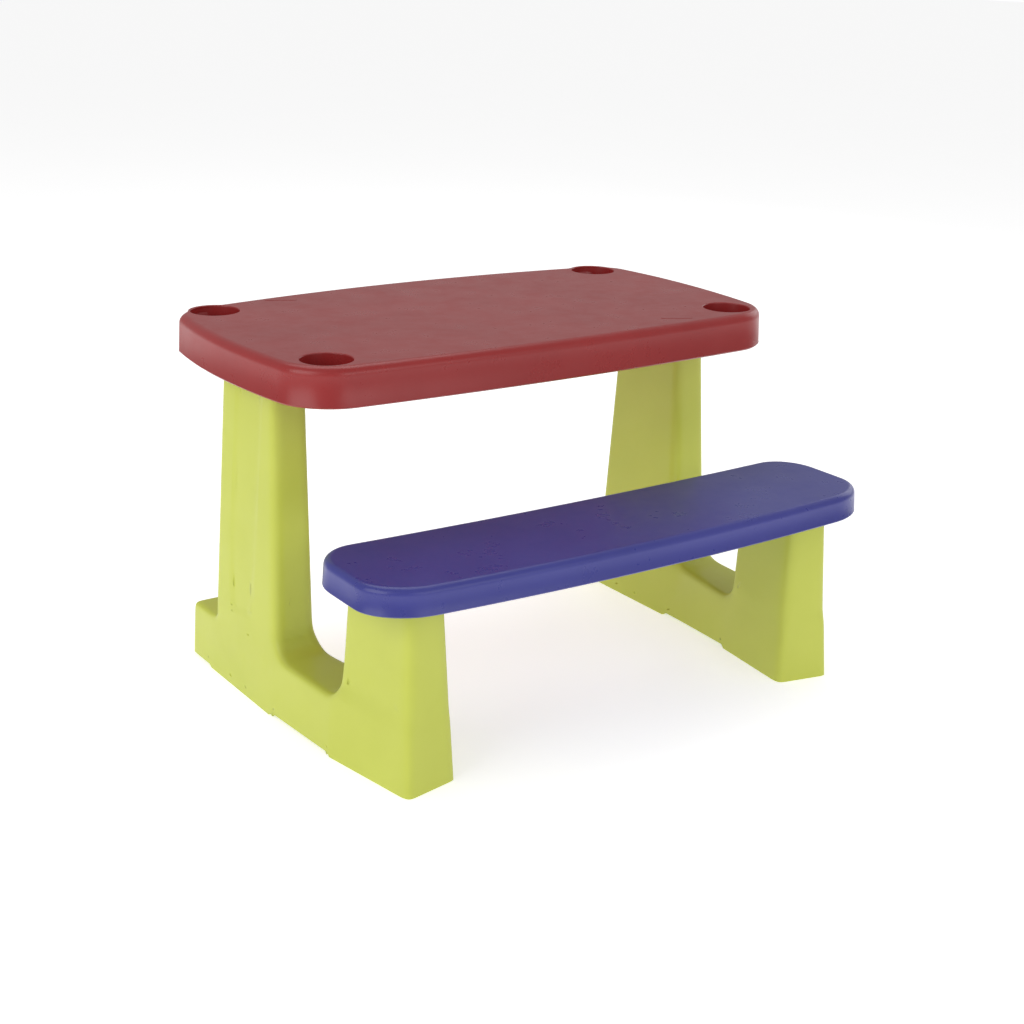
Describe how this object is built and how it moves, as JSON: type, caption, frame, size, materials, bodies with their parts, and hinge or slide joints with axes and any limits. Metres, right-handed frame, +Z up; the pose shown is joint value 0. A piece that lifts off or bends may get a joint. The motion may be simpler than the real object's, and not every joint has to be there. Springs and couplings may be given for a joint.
{
  "type": "childs table with bench",
  "caption": "Low child's table and joined bench on two moulded side frames; the tabletop has a round cup well in each corner.",
  "frame": {"origin": "on the floor, at the middle of the set's bounding box", "axes": "+X along the length of the table, +Y from the bench towards the table, +Z up"},
  "size_m": [0.81, 0.6614, 0.5],
  "materials": {
    "red_plastic": "satin injection-moulded polypropylene, pigment red",
    "blue_plastic": "satin injection-moulded polypropylene, violet blue",
    "lime_plastic": "satin injection-moulded polypropylene, lime, slightly translucent",
    "zinc_screw": "zinc-plated self-tapping screw"
  },
  "bodies": {
    "root": {"tabletop": "red_plastic", "bench_seat": "blue_plastic", "left_side_frame": "lime_plastic", "right_side_frame": "lime_plastic", "table_screw_left_1": "zinc_screw", "table_screw_left_2": "zinc_screw", "table_screw_left_3": "zinc_screw", "table_screw_left_4": "zinc_screw", "table_screw_right_1": "zinc_screw", "table_screw_right_2": "zinc_screw", "table_screw_right_3": "zinc_screw", "table_screw_right_4": "zinc_screw", "bench_screw_left_1": "zinc_screw", "bench_screw_left_2": "zinc_screw", "bench_screw_right_1": "zinc_screw", "bench_screw_right_2": "zinc_screw"}
  },
  "joints": []
}
